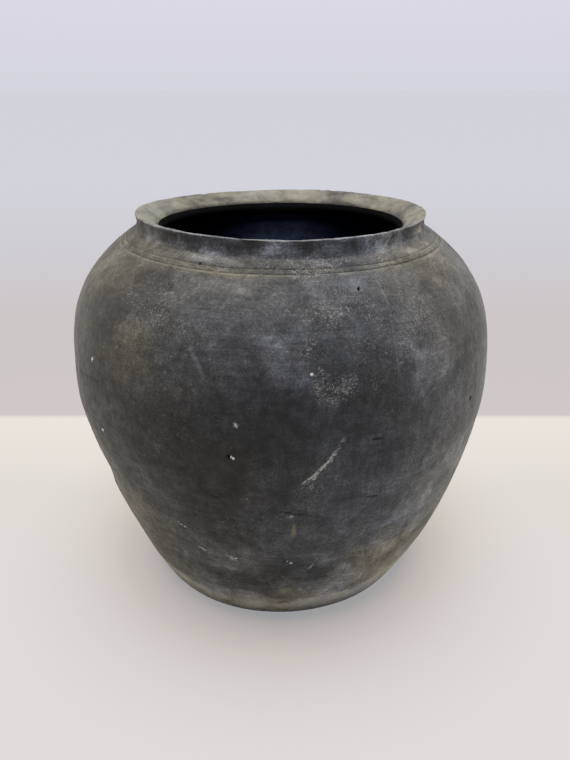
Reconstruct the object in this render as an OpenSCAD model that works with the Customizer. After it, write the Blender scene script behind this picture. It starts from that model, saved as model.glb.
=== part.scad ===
// Round-bodied black clay pot with a collared neck and a funnel-shaped rim.
// It is built the way a potter builds it: a base slab, two wall sections, a
// neck ring and a rim ring are bevelled, scored and luted together with slip.
// Clay coils back the two inner corners and a thin coat seals the inside.
// +Z is up and the origin is the centre of the foot, on the table.

/* [Body curve] */
// Outside radius of the foot
foot_r = 81.5; // [76:0.5:86]
// Rounding of the foot's edge
foot_round = 2.5; // [1:0.5:4]
// Lean of the wall as it leaves the foot, from the vertical
foot_lean = 29; // [22:1:36]
// How far that lean carries up the wall
foot_pull = 63; // [50:1:75]
// Largest outside radius
belly_r = 120; // [115:1:125]
// Height of the largest radius
belly_z = 126; // [120:1:132]
// How far the wall runs upright under the largest radius
belly_pull_down = 9; // [4:1:16]
// How far the wall runs upright above it
belly_pull_up = 34; // [28:1:40]
// Slope of the shoulder where it meets the rim, from the horizontal
shoulder_slope = 32; // [26:1:38]
// How far that slope carries down the shoulder
shoulder_pull = 44; // [36:1:50]

/* [Neck and rim] */
// Outside radius in the crease under the rim
crease_r = 80; // [77:0.5:82]
// Height of the crease
crease_z = 209; // [206:0.5:211]
// Radius of the rim's sharp outer edge
rim_r = 79; // [78:0.5:82]
// Height of the rim
rim_z = 217.5; // [215:0.5:220]
// How hollow the rim's outer face is
rim_hollow = 1.4; // [0:0.2:2]
// Radius of the narrowest part of the throat
throat_r = 65.5; // [62:0.5:68]
// Height of the narrowest part of the throat
throat_z = 207; // [205:0.5:208]

/* [Incised double line] */
// Radius of the inner line
line_inner_r = 85; // [84:0.5:86]
// Radius of the outer line
line_outer_r = 87.5; // [87:0.5:88]
// Width of each cut
line_w = 1.2; // [0.6:0.2:1.4]

/* [Walls] */
// Thickness of the base slab inside the pot
floor_t = 10; // [8:0.5:12]
// Wall thickness at the foot
wall_low = 10; // [9:0.5:11]
// Wall thickness at the shoulder
wall_high = 8; // [7:0.5:8.5]
// Thickness of the sealing coat
coat_t = 0.8; // [0.6:0.1:1.2]
// How far the coat climbs the funnel above the throat
coat_climb = 3.5; // [0:0.5:4.5]
// Reach of the coil pressed into the corner over the base slab
base_coil_reach = 14; // [10:1:16]
// How far the coil over the wall joint stands proud of the wall
wall_coil_proud = 3; // [2:0.5:4]

/* [Joints] */
// Outside height of the joint between base slab and wall
base_joint_z = 7; // [6:0.5:8]
// Outside height of the joint between the two wall sections
wall_joint_z = 80; // [75:1:85]
// Outside radius of the joint between shoulder and neck ring
neck_joint_r = 89.5; // [89:0.5:90]
// Thickness of the slip in a joint
slip_t = 0.8; // [0.4:0.2:1.2]
// Clay that meets face to face on each side of the slip
slip_inset = 2; // [1.5:0.25:2.5]

/* [Grit] */
// Radius of the largest grain
grit_r = 1.6; // [1.2:0.1:2]
// How far a grain stands proud of the wall
grit_proud = 0.4; // [0.2:0.1:0.5]

/* [Hidden] */
$fn = 120;
STEPS = 24;
REACH = 200;

// Bezier handles: foot to belly, then belly to crease
lower_curve = [
    [foot_r, 0],
    [foot_r + foot_pull * sin(foot_lean), foot_pull * cos(foot_lean)],
    [belly_r, belly_z - belly_pull_down],
    [belly_r, belly_z]];
upper_curve = [
    [belly_r, belly_z],
    [belly_r, belly_z + belly_pull_up],
    [crease_r + shoulder_pull * cos(shoulder_slope),
     crease_z - shoulder_pull * sin(shoulder_slope)],
    [crease_r, crease_z]];

function bezier(p, t) =
    pow(1 - t, 3) * p[0] + 3 * pow(1 - t, 2) * t * p[1]
    + 3 * (1 - t) * t * t * p[2] + pow(t, 3) * p[3];
function heading(p, t) =
    pow(1 - t, 2) * (p[1] - p[0]) + 2 * (1 - t) * t * (p[2] - p[1])
    + t * t * (p[3] - p[2]);
// Unit normal that points into the pot
function inward(p, t) =
    let (h = heading(p, t)) [-h.y, h.x] / norm(h);
function bend(a, corner, b, steps) =
    [for (i = [0:steps]) let (t = i / steps)
        pow(1 - t, 2) * a + 2 * (1 - t) * t * corner + t * t * b];

// Wall thickness falls evenly with height
function wall(z) = wall_low + (wall_high - wall_low) * z / crease_z;
function inner_point(p, t, skin) =
    let (q = bezier(p, t)) q + inward(p, t) * (wall(q.y) + skin);

// Where a curve passes a given height or radius, found by halving
function t_at_z(p, z, lo = 0, hi = 1, n = 30) =
    n == 0 ? lo :
    let (m = (lo + hi) / 2)
        bezier(p, m).y < z ? t_at_z(p, z, m, hi, n - 1) : t_at_z(p, z, lo, m, n - 1);
function t_at_r(p, r, lo = 0.5, hi = 1, n = 30) =
    n == 0 ? lo :
    let (m = (lo + hi) / 2)
        bezier(p, m).x > r ? t_at_r(p, r, m, hi, n - 1) : t_at_r(p, r, lo, m, n - 1);
function t_inside_at_z(p, z, lo = 0, hi = 1, n = 30) =
    n == 0 ? lo :
    let (m = (lo + hi) / 2)
        inner_point(p, m, 0).y < z ? t_inside_at_z(p, z, m, hi, n - 1)
                                   : t_inside_at_z(p, z, lo, m, n - 1);

foot_t = t_at_z(lower_curve, foot_round);
neck_t = t_at_r(upper_curve, neck_joint_r);
rim_edge = [rim_r, rim_z - 0.8];
funnel_top = [rim_r - 1.2, rim_z];

// Outside of the pot, from the middle of the foot to the middle of the mouth
outside_points = concat(
    [[0, 0]],
    bend([foot_r - foot_round, 0], [foot_r, 0], bezier(lower_curve, foot_t), 4),
    [for (i = [1:STEPS]) bezier(lower_curve, foot_t + (1 - foot_t) * i / STEPS)],
    [for (i = [1:STEPS]) bezier(upper_curve, i / STEPS)],
    bend([crease_r - 0.6, crease_z + 0.9],
         [rim_r - rim_hollow, (crease_z + rim_z) / 2], rim_edge, 6),
    bend(rim_edge, [rim_r, rim_z], funnel_top, 3),
    [[0, rim_z]]);

// Inside of the pot, grown inwards by a skin
function hollow_points(skin) =
    let (low = inner_point(upper_curve, neck_t, skin),
         along = heading(upper_curve, neck_t) / norm(heading(upper_curve, neck_t)),
         throat = [throat_r - skin, throat_z],
         neck_inside = [low, low + along * 11, throat - [0, 3], throat])
    concat(
        [[0, 0], inner_point(lower_curve, 0, skin)],
        [for (i = [1:STEPS]) inner_point(lower_curve, i / STEPS, skin)],
        [for (i = [1:STEPS]) inner_point(upper_curve, neck_t * i / STEPS, skin)],
        [for (i = [1:8]) bezier(neck_inside, i / 8)],
        bend(throat, [throat_r - skin, throat_z + 4.5],
             funnel_top - [skin, 0], 10),
        [[funnel_top.x - skin, rim_z + 10], [0, rim_z + 10]]);

// Radius of the inside corner, where the wall meets the base slab
corner_r = inner_point(lower_curve, t_inside_at_z(lower_curve, floor_t), 0).x;

// Middle of the coil behind the joint between the two wall sections
wall_coil_t = t_at_z(lower_curve, wall_joint_z + 4);
wall_coil_r = 17;
wall_coil_centre = inner_point(lower_curve, wall_coil_t, 0)
    + inward(lower_curve, wall_coil_t) * (wall_coil_proud - wall_coil_r);

// A joint is [outside point, slope of the scarf, length through the wall]
base_joint_out = bezier(lower_curve, t_at_z(lower_curve, base_joint_z));
base_joint_run = base_joint_out - [corner_r, floor_t];
base_joint = [base_joint_out, atan2(base_joint_run.y, base_joint_run.x),
              norm(base_joint_run)];
wall_joint = [bezier(lower_curve, t_at_z(lower_curve, wall_joint_z)), -38, 9.8];
neck_joint = [bezier(upper_curve, neck_t), 54, 8];
rim_joint = [[crease_r, crease_z], 18, 14];
JOINTS = [base_joint, wall_joint, neck_joint, rim_joint];

// White grains: [degrees from the front, height, share of grit_r]
GRAINS = [[-10, 129, 1], [-13, 60, 0.8], [-49, 121, 0.6], [7, 168, 0.5],
          [-51, 158, 0.6], [1.5, 60, 0.6], [150, 140, 0.8], [-140, 96, 0.7]];

module above(joint)
    translate(joint[0]) rotate(joint[1]) translate([-REACH, 0]) square(2 * REACH);

module slip(joint)
    translate(joint[0]) rotate(joint[1])
        translate([slip_inset - joint[2], -slip_t / 2])
            square([joint[2] - 2 * slip_inset, slip_t]);

// Zones that the two coils fill, grown by a skin
module base_coil_zone(skin)
    polygon(concat(
        [[corner_r + 15, 0]],
        [[corner_r - base_coil_reach - skin, 0]],
        bend([corner_r - base_coil_reach - skin, floor_t],
             [corner_r - skin, floor_t + skin],
             [corner_r + base_coil_reach * 0.5, floor_t + base_coil_reach + skin], 8),
        [[corner_r + 15, floor_t + base_coil_reach + skin]]));

module wall_coil_zone(skin)
    translate(wall_coil_centre) circle(r = wall_coil_r + skin);

module bare_hollow(skin)
    intersection() {
        polygon(hollow_points(skin));
        translate([0, floor_t + skin]) square(2 * REACH);
    }

module hollow(skin)
    difference() {
        bare_hollow(skin);
        base_coil_zone(skin);
        wall_coil_zone(skin);
    }

module incised_line(r)
    translate(bezier(upper_curve, t_at_r(upper_curve, r))) circle(d = line_w, $fn = 24);

module shell()
    difference() {
        polygon(outside_points);
        bare_hollow(0);
        incised_line(line_inner_r);
        incised_line(line_outer_r);
        for (joint = JOINTS) slip(joint);
    }

module turned() rotate_extrude() children();

function surface_curve(z) = z < belly_z ? lower_curve : upper_curve;

module grains()
    for (g = GRAINS)
        let (curve = surface_curve(g[1]), t = t_at_z(curve, g[1]), r = grit_r * g[2],
             centre = bezier(curve, t) + inward(curve, t) * (r - grit_proud))
        rotate(g[0] - 90) translate([centre.x, 0, centre.y]) sphere(r = r, $fn = 32);

module base_slab()
    color("#3b3a38") turned() difference() {
        shell();
        above(base_joint);
    }

module base_coil()
    color("#4a4846") turned() intersection() {
        bare_hollow(0);
        base_coil_zone(0);
    }

module lower_wall()
    color("#45464a") difference() {
        turned() difference() {
            intersection() {
                shell();
                above(base_joint);
            }
            above(wall_joint);
        }
        grains();
    }

module wall_joint_coil()
    color("#4a4846") turned() intersection() {
        bare_hollow(0);
        wall_coil_zone(0);
    }

module shoulder_wall()
    color("#505156") difference() {
        turned() difference() {
            intersection() {
                shell();
                above(wall_joint);
            }
            above(neck_joint);
        }
        grains();
    }

module neck_ring()
    color("#5c5a57") turned() difference() {
        intersection() {
            shell();
            above(neck_joint);
        }
        above(rim_joint);
    }

module rim_ring()
    color("#6d6a62") turned() intersection() {
        shell();
        above(rim_joint);
    }

module joint_slip()
    color("#2b2a2a") turned() for (joint = JOINTS) slip(joint);

module inner_coat()
    color("#101114") turned() difference() {
        hollow(0);
        hollow(coat_t);
        translate([0, throat_z + coat_climb]) square(REACH);
    }

module grit_grains() color("#d8d4c8") grains();

base_slab();
base_coil();
lower_wall();
wall_joint_coil();
shoulder_wall();
neck_ring();
rim_ring();
joint_slip();
inner_coat();
grit_grains();
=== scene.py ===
"""A black clay pot with a collared neck and a funnel-shaped rim, on a pale table.

Every piece is a shape turned about +Z: its outline is a closed loop of runs,
and each run is a stretch of one shared skin or lining curve, so neighbouring
pieces meet without a gap. Places on the skin are given as degrees round from
the front (towards +X) and height above the table. Lengths are in metres, but
the lists of marks and grains give them in millimetres.
"""
import math

import bmesh
import bpy
import numpy as np
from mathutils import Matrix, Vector


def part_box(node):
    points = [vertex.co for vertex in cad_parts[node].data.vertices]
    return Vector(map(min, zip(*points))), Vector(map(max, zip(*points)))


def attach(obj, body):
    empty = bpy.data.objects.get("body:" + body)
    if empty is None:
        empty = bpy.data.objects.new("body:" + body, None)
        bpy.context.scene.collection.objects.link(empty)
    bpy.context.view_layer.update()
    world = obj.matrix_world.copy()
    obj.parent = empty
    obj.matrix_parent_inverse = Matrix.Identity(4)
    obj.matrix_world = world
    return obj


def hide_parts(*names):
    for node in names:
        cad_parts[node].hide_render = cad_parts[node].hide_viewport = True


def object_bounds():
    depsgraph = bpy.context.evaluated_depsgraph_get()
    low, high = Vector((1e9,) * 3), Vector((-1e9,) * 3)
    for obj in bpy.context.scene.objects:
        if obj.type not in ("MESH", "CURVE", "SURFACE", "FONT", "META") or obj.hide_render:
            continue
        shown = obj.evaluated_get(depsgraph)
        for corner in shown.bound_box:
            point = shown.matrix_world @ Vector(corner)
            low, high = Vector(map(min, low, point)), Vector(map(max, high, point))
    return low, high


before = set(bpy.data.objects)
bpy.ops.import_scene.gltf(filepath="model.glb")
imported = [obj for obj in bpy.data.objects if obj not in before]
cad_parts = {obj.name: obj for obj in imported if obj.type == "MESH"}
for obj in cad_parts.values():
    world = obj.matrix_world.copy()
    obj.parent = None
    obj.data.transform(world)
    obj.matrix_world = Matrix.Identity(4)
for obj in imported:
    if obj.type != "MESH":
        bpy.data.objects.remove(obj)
cad_bounds = [list(corner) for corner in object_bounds()]

MM = 0.001
BODY = "root"

# ------------------------------------------------ sizes, the same as in the CAD model

POT_TOP = cad_bounds[1][2]
BELLY_R = 120 * MM
BELLY_Z = 126 * MM
FOOT_R = 81.5 * MM
FOOT_ROUND = 2.5 * MM
FOOT_LEAN = math.radians(29)
FOOT_PULL = 63 * MM
BELLY_PULL_DOWN = 9 * MM
BELLY_PULL_UP = 34 * MM
SHOULDER_SLOPE = math.radians(32)
SHOULDER_PULL = 44 * MM
CREASE_R = 80 * MM
CREASE_Z = 209 * MM
RIM_R = 79 * MM
RIM_HOLLOW = 1.4 * MM
THROAT_R = 65.5 * MM
THROAT_Z = 207 * MM
FLOOR_T = 10 * MM
WALL_LOW = 10 * MM
WALL_HIGH = 8 * MM
COAT_T = 0.8 * MM
COAT_CLIMB = 3.5 * MM
BASE_COIL_REACH = 14 * MM
WALL_COIL_PROUD = 3 * MM
WALL_COIL_R = 17 * MM
SLIP_T = 0.8 * MM
SLIP_INSET = 2 * MM

# Heights of the joints on the outside, where the walls begin and end
BASE_JOINT_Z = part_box("lower_wall")[0][2]
WALL_JOINT_Z = 80 * MM
NECK_JOINT_R = 89.5 * MM

# Radii of the two incised lines on the shoulder, and their width and depth.
# A much fainter line runs between them.
LINES = [85 * MM, 87.5 * MM]
MIDDLE_LINE = 86.3 * MM
LINE_W = 0.55 * MM
LINE_DEPTH = 0.30 * MM

# White grains: degrees from the front, height, radius (mm)
GRAINS = [
    (-10, 129, 1.6), (-13, 60, 1.3), (-49, 121, 1.0), (7, 168, 0.8), (-51, 158, 1.0),
    (1.5, 60, 1.0), (150, 140, 1.3), (-140, 96, 1.1)]
GRAIN_PROUD = 0.4 * MM

# Columns of points round the pot, and the angle from which an edge stays sharp
COLUMNS = 1440
SHARP = math.radians(45)

# How far the wall sways to the side, and the slope of the chalk scratches
SWAY = 0.86 * MM
SCRATCH_TILT = math.radians(50)

# Brings blended noise back to about -1 to 1
NOISE_GAIN = 1.4


# ------------------------------------------------ outline curves

def bezier(p, t):
    """Points of a cubic curve at each t."""
    p = np.asarray(p, float)
    t = np.asarray(t, float)[:, None]
    return ((1 - t) ** 3 * p[0] + 3 * (1 - t) ** 2 * t * p[1]
            + 3 * (1 - t) * t * t * p[2] + t ** 3 * p[3])


def heading(p, t):
    """Unit direction of a cubic curve at each t."""
    p = np.asarray(p, float)
    t = np.asarray(t, float)[:, None]
    h = ((1 - t) ** 2 * (p[1] - p[0]) + 2 * (1 - t) * t * (p[2] - p[1])
         + t * t * (p[3] - p[2]))
    return h / np.linalg.norm(h, axis=1, keepdims=True)


def bend(a, corner, b, steps=60):
    """Points of a quadratic curve from a to b, pulled towards corner."""
    t = np.linspace(0, 1, steps)[:, None]
    return ((1 - t) ** 2 * np.asarray(a) + 2 * (1 - t) * t * np.asarray(corner)
            + t * t * np.asarray(b))


LOWER = [(FOOT_R, 0),
         (FOOT_R + FOOT_PULL * math.sin(FOOT_LEAN), FOOT_PULL * math.cos(FOOT_LEAN)),
         (BELLY_R, BELLY_Z - BELLY_PULL_DOWN),
         (BELLY_R, BELLY_Z)]
UPPER = [(BELLY_R, BELLY_Z),
         (BELLY_R, BELLY_Z + BELLY_PULL_UP),
         (CREASE_R + SHOULDER_PULL * math.cos(SHOULDER_SLOPE),
          CREASE_Z - SHOULDER_PULL * math.sin(SHOULDER_SLOPE)),
         (CREASE_R, CREASE_Z)]
T = np.linspace(0, 1, 600)
FUNNEL_TOP = (RIM_R - 1.2 * MM, POT_TOP)
RIM_EDGE = (RIM_R, POT_TOP - 0.8 * MM)


def wall(z):
    """Wall thickness, which falls evenly with height."""
    return WALL_LOW + (WALL_HIGH - WALL_LOW) * z / CREASE_Z


def inner(curve, t):
    """The inside of the wall behind each point of an outside curve."""
    q = bezier(curve, t)
    h = heading(curve, t)
    return q + np.stack([-h[:, 1], h[:, 0]], 1) * wall(q[:, 1])[:, None]


def joined(*runs):
    """One line of points from several that meet end to end."""
    points = np.concatenate(runs)
    keep = np.r_[True, np.linalg.norm(np.diff(points, axis=0), axis=1) > 1e-7]
    return points[keep]


def t_at(curve, axis, value):
    """Where a curve passes a radius (axis 0) or a height (axis 1)."""
    along = bezier(curve, T)[:, axis]
    order = np.argsort(along)
    return float(np.interp(value, along[order], T[order]))


class Path:
    """A line of points with the distance run along it and its left-hand normal."""

    def __init__(self, points):
        self.points = points
        step = np.linalg.norm(np.diff(points, axis=0), axis=1)
        self.run = np.r_[0, np.cumsum(step)]
        slope = np.gradient(points, axis=0)
        slope /= np.linalg.norm(slope, axis=1, keepdims=True)
        self.left = np.stack([-slope[:, 1], slope[:, 0]], 1)

    def at(self, run):
        """Points and normals at the given distances along the path."""
        point = [np.interp(run, self.run, self.points[:, k]) for k in (0, 1)]
        left = [np.interp(run, self.run, self.left[:, k]) for k in (0, 1)]
        return np.stack(point, 1), np.stack(left, 1)

    def nearest(self, point):
        """Distance along the path to the place nearest a point."""
        gap = np.linalg.norm(self.points - np.asarray(point), axis=1)
        return float(self.run[np.argmin(gap)])

    def crossing(self, out, slope, start=0.0, end=9.0):
        """Where the path crosses a line through out with this slope."""
        normal = np.array([-math.sin(slope), math.cos(slope)])
        side = (self.points - np.asarray(out)) @ normal
        for i in np.nonzero(np.diff(np.sign(side)))[0]:
            if start <= self.run[i] <= end:
                share = side[i] / (side[i] - side[i + 1])
                return float(self.run[i] + share * (self.run[i + 1] - self.run[i]))
        raise ValueError("the path doesn't cross this joint")


foot_t = t_at(LOWER, 1, FOOT_ROUND)
neck_t = t_at(UPPER, 0, NECK_JOINT_R)
NECK_T = np.linspace(0, neck_t, 500)
neck_low = inner(UPPER, [neck_t])[0]
neck_along = heading(UPPER, [neck_t])[0]
THROAT = (THROAT_R, THROAT_Z)

# The skin runs from the middle of the foot, up the outside, over the rim and
# down the funnel to the throat. The lining runs from the floor up to the throat.
skin = Path(joined(
    np.linspace((0, 0), (FOOT_R - FOOT_ROUND, 0), 90),
    bend((FOOT_R - FOOT_ROUND, 0), (FOOT_R, 0), bezier(LOWER, [foot_t])[0]),
    bezier(LOWER, np.linspace(foot_t, 1, 600)),
    bezier(UPPER, T),
    bend((CREASE_R - 0.6 * MM, CREASE_Z + 0.9 * MM),
         (RIM_R - RIM_HOLLOW, (CREASE_Z + POT_TOP) / 2), RIM_EDGE),
    bend(RIM_EDGE, (RIM_R, POT_TOP), FUNNEL_TOP, 20),
    bend(FUNNEL_TOP, (THROAT_R, THROAT_Z + 4.5 * MM), THROAT)))
neck_inside = bezier([neck_low, neck_low + neck_along * 11 * MM,
                      (THROAT_R, THROAT_Z - 3 * MM), THROAT], np.linspace(0, 1, 120))
bare_wall = joined(inner(LOWER, T), inner(UPPER, NECK_T), neck_inside)
corner_at = np.argmax(bare_wall[:, 1] > FLOOR_T)
corner = np.array([bare_wall[corner_at, 0], FLOOR_T])
bare = Path(joined([corner], bare_wall[corner_at:]))

# A joint is its place on the outside, its slope, and its length through the wall
base_out = bezier(LOWER, [t_at(LOWER, 1, BASE_JOINT_Z)])[0]
base_run = base_out - corner
wall_out = bezier(LOWER, [t_at(LOWER, 1, WALL_JOINT_Z)])[0]
neck_out = bezier(UPPER, [neck_t])[0]
crease = np.array([CREASE_R, CREASE_Z])
BASE_JOINT = (base_out, math.atan2(base_run[1], base_run[0]), np.linalg.norm(base_run))
WALL_JOINT = (wall_out, math.radians(-38), 9.8 * MM)
NECK_JOINT = (neck_out, math.radians(54), 8 * MM)
RIM_JOINT = (crease, math.radians(18), 14 * MM)
JOINTS = [BASE_JOINT, WALL_JOINT, NECK_JOINT, RIM_JOINT]

SKIN_FOOT = skin.nearest((FOOT_R - FOOT_ROUND, 0))
SKIN_BASE, SKIN_WALL, SKIN_NECK, SKIN_CREASE = [skin.nearest(j[0]) for j in JOINTS]
SKIN_LIP = skin.nearest(RIM_EDGE)
SKIN_TOP = skin.nearest(FUNNEL_TOP)
SKIN_END = skin.run[-1]

# The front of the base coil, and the round face of the coil behind the wall joint
coil_front = Path(bend(corner - [BASE_COIL_REACH, 0], corner,
                       corner + [BASE_COIL_REACH * 0.5, BASE_COIL_REACH]))
coil_t = t_at(LOWER, 1, WALL_JOINT_Z + 4 * MM)
coil_wall = inner(LOWER, [coil_t])[0]
coil_h = heading(LOWER, [coil_t])[0]
coil_centre = coil_wall + np.array([-coil_h[1], coil_h[0]]) * (WALL_COIL_PROUD - WALL_COIL_R)


# ------------------------------------------------ repeatable noise

def lattice(i, j, seed):
    """A repeatable number from -1 to 1 for each whole-number place."""
    h = i.astype(np.uint32) * np.uint32(374761393)
    h = h + j.astype(np.uint32) * np.uint32(668265263) + np.uint32(seed * 974711 + 12345)
    h = (h ^ (h >> np.uint32(13))) * np.uint32(1274126177)
    h = (h ^ (h >> np.uint32(15))) * np.uint32(2246822519)
    h = h ^ (h >> np.uint32(16))
    return h.astype(np.float64) / 2147483648.0 - 1


def noise(place, around, size, seed):
    """Smooth noise from -1 to 1: cells round the pot, and the cells' height."""
    x = place["turn"] * around
    y = place["run"] / size
    i = np.floor(x).astype(np.int64)
    j = np.floor(y).astype(np.int64)
    u = x - i
    v = y - j
    u = u * u * (3 - 2 * u)
    v = v * v * (3 - 2 * v)
    left = i % around
    right = (i + 1) % around
    low = lattice(left, j, seed) * (1 - u) + lattice(right, j, seed) * u
    high = lattice(left, j + 1, seed) * (1 - u) + lattice(right, j + 1, seed) * u
    return (low * (1 - v) + high * v) * NOISE_GAIN


def layered(place, around, size, seed, layers=3):
    """Noise with finer and weaker noise added to it."""
    total = 0
    for k in range(layers):
        total = total + noise(place, around * 2 ** k, size / 2 ** k, seed + 17 * k) / 1.7 ** k
    return total


def smooth(low, high, value):
    """0 below low, 1 above high, and an even ramp between."""
    t = np.clip((value - low) / (high - low), 0, 1)
    return t * t * (3 - 2 * t)


# ------------------------------------------------ marks on the skin

def outside_run(height):
    """Distance along the skin to a height on the outside."""
    rising = slice(None, np.argmax(skin.points[:, 1]) + 1)
    return float(np.interp(height, skin.points[rising, 1], skin.run[rising]))


def beside(place, degrees, height):
    """How far each point lies round from, and up from, a place on the skin."""
    round_by = (place["turn"] * 360 - degrees + 180) % 360 - 180
    across = np.radians(round_by) * place["radius"]
    return across, place["run"] - outside_run(height)


def close_to(place, across, up, reach):
    """Which points are within reach of a place, and their part of the skin."""
    close = (np.abs(across) < reach) & (np.abs(up) < reach)
    return close, {key: value[close] for key, value in place.items()}


def blot(place, degrees, height, wide, tall, soft=0.5, rough=0.35, seed=1, tilt=0):
    """A soft patch with a ragged edge, sized in mm: 1 inside, 0 outside."""
    across, up = beside(place, degrees, height * MM)
    close, patch = close_to(place, across, up, max(wide, tall) * MM * (1 + soft + rough) / 2)
    c = math.cos(math.radians(tilt))
    s = math.sin(math.radians(tilt))
    u = (across[close] * c + up[close] * s) / (wide * MM / 2)
    v = (up[close] * c - across[close] * s) / (tall * MM / 2)
    ragged = layered(patch, 60, 12 * MM, seed, 4) * rough
    whole = np.zeros(len(across))
    whole[close] = 1 - smooth(1 - soft, 1 + soft, np.hypot(u, v) + ragged)
    return whole


def stroke(place, points, width, soft=0.6):
    """A thin line through places on the skin, sized in mm: 1 on it, 0 beside it."""
    width = width * MM
    whole = np.zeros(len(place["turn"]))
    for (a0, h0), (a1, h1) in zip(points, points[1:]):
        across, up = beside(place, a0, h0 * MM)
        end_run = outside_run(h1 * MM) - outside_run(h0 * MM)
        reach = abs(math.radians(a1 - a0)) * BELLY_R + abs(end_run) + 2 * width
        close, patch = close_to(place, across, up, reach)
        end_across = math.radians(a1 - a0) * patch["radius"]
        across = across[close]
        up = up[close]
        length = end_across ** 2 + end_run ** 2
        share = np.clip((across * end_across + up * end_run) / length, 0, 1)
        gap = np.hypot(across - share * end_across, up - share * end_run)
        line = 1 - smooth(width / 2 * (1 - soft), width / 2 * (1 + soft), gap)
        whole[close] = np.maximum(whole[close], line)
    return whole


def line_run(radius):
    """Distance along the skin to a radius on the shoulder."""
    return skin.nearest(bezier(UPPER, [t_at(UPPER, 0, radius)])[0])


def ridge(distance, width):
    """1 on a line and 0 beside it, as a round hollow or ridge."""
    return np.exp(-(distance / (width / 2)) ** 2)


def line_offset(place, radius, seed):
    """Signed distance up from an incised line, which wavers a little."""
    waver = 0.35 * noise(place, 6, 1, seed) + 0.12 * noise(place, 40, 1, seed + 1)
    return place["run"] - line_run(radius) - waver * MM


def line_depth(place, seed):
    """The tool pressed harder in some places than in others."""
    return 0.75 + 0.25 * noise(place, 9, 1, seed) + 0.15 * noise(place, 150, 1, seed + 1)


# Swells, turning waves and grain: depth (mm), cells round the pot, cell height (mm), seed
SWELLS = [(0.20, 3, 24, 11), (0.26, 24, 30, 12), (0.08, 64, 11, 13), (0.04, 5, 2.6, 14),
          (0.03, 11, 1.3, 15), (0.035, 420, 1.6, 16)]


def relief(place):
    """How far each point of the skin stands out from the smooth curve."""
    out = 0.15
    for share, around, size, seed in SWELLS:
        out = out + share * noise(place, around, size * MM, seed)
    for degrees, height, wide, tall, depth in DENTS:
        out -= depth * blot(place, degrees, height, wide, tall, 0.8, 0.15)
    for degrees, height, size, depth in PITS:
        out -= depth * blot(place, degrees, height, size, size, 0.5, 0.25)
    for points, width, depth in CRACKS:
        out -= depth * stroke(place, points, width)
    for index, radius in enumerate(LINES):
        offset = line_offset(place, radius, 21 + 4 * index)
        out -= LINE_DEPTH / MM * ridge(offset, LINE_W) * line_depth(place, 31 + index)
        out += 0.16 * ridge(offset + 1.1 * MM, 0.9 * MM)
    between = ridge(line_offset(place, MIDDLE_LINE, 51), 0.8 * LINE_W)
    out -= 0.15 * between * line_depth(place, 53)
    edge = ridge(place["run"] - SKIN_TOP + 1 * MM, 3 * MM)
    out -= edge * (0.10 + 0.22 * np.maximum(noise(place, 130, 1, 61), 0) ** 2)
    for degrees, wide, depth in CHIPS:
        across = beside(place, degrees, POT_TOP)[0]
        chip = 1 - (across / (wide * MM / 2)) ** 2 + 0.3 * noise(place, 300, 1 * MM, 62)
        out -= depth * np.maximum(0, chip) * edge
    fade = smooth(0, 6 * MM, place["run"] - SKIN_FOOT)
    return out * MM * (fade * smooth(5 * MM, 9 * MM, SKIN_END - place["run"]))


def degrees_round(place):
    """Degrees from the front, from -180 to 180."""
    return (place["turn"] * 360 + 180) % 360 - 180


def paint(place):
    """Shares of each kind of marking on the skin, which the clay's colours follow."""
    degrees = degrees_round(place)
    height = place["height"] / MM
    outside = 1 - smooth(SKIN_LIP, SKIN_TOP, place["run"])
    low = 1 - smooth(125, 170, height)
    left = smooth(22, 55, -degrees) * (1 - 0.6 * smooth(80, 120, -degrees))
    right = smooth(15, 52, degrees) * (1 - 0.6 * smooth(80, 120, degrees))
    front = 1 - 0.8 * smooth(22, 50, np.abs(degrees))
    marks = {name: np.zeros(degrees.shape) for name in ("white", "ochre", "black")}
    marks["tone"] = np.interp(height, TONE_HEIGHTS, TONES)
    # Lighter towards both sides, most of all low down: partly dust, and partly painted light for
    # the brighter edges of the pot as seen from the front.
    marks["tone"] += 0.08 * low * left + (0.07 + 0.10 * low) * right
    marks["tone"] += 0.06 * layered(place, 22, 36 * MM, 71)
    marks["tone"] += 0.05 * layered(place, 70, 9 * MM, 72, 4)
    marks["warm"] = np.interp(degrees, WARM_DEGREES, WARMTHS) + 0.25 * smooth(185, 200, height)
    marks["warm"] += (0.16 * layered(place, 18, 40 * MM, 73)
                      + 0.22 * (1 - smooth(50, 110, height)))
    marks["chalk"] = (0.09 + 0.2 * layered(place, 30, 25 * MM, 74)
                      + 0.1 * smooth(150, 190, height))
    marks["chalk"] += 0.36 * front * smooth(200, 205, height) * (1 - smooth(205, 217, height))
    for name, blots in BLOTS.items():
        for degrees_at, height_at, wide, tall, share, *tilt in blots:
            marks[name] += share * blot(place, degrees_at, height_at, wide, tall,
                                        0.5, 0.5, int(height_at), *tilt)
    for name, strokes in STROKES.items():
        for points, width, share in strokes:
            marks[name] += share * stroke(place, points, width)
    # Painted shade: the deeper pits and the cracks are darkened.
    for degrees_at, height_at, size, depth in PITS:
        if depth > 0.3:
            marks["black"] += blot(place, degrees_at, height_at, size, size, 0.3, 0.2)
    for points, width, depth in CRACKS:
        marks["black"] += min(1, 3 * depth) * stroke(place, points, width)
    paint_scatter(place, marks)
    paint_rim(place, marks, outside)
    return {name: np.clip(mark, 0, 1) for name, mark in marks.items()}


def paint_scatter(place, marks):
    """Stains and rubbed places on the side that the photograph doesn't show."""
    random = np.random.default_rng(7)
    for index in range(26):
        degrees_at = random.uniform(75, 285)
        height_at = random.uniform(20, 195)
        wide = random.uniform(12, 46)
        tall = random.uniform(10, 40)
        share = random.choice([-0.2, -0.14, 0.12, 0.2])
        warmth = random.uniform(-0.3, 0.4)
        tilt = random.uniform(-50, 50)
        spot = blot(place, degrees_at, height_at, wide, tall, 0.7, 0.45, 300 + index, tilt)
        marks["tone"] += share * spot
        marks["warm"] += warmth * spot


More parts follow.
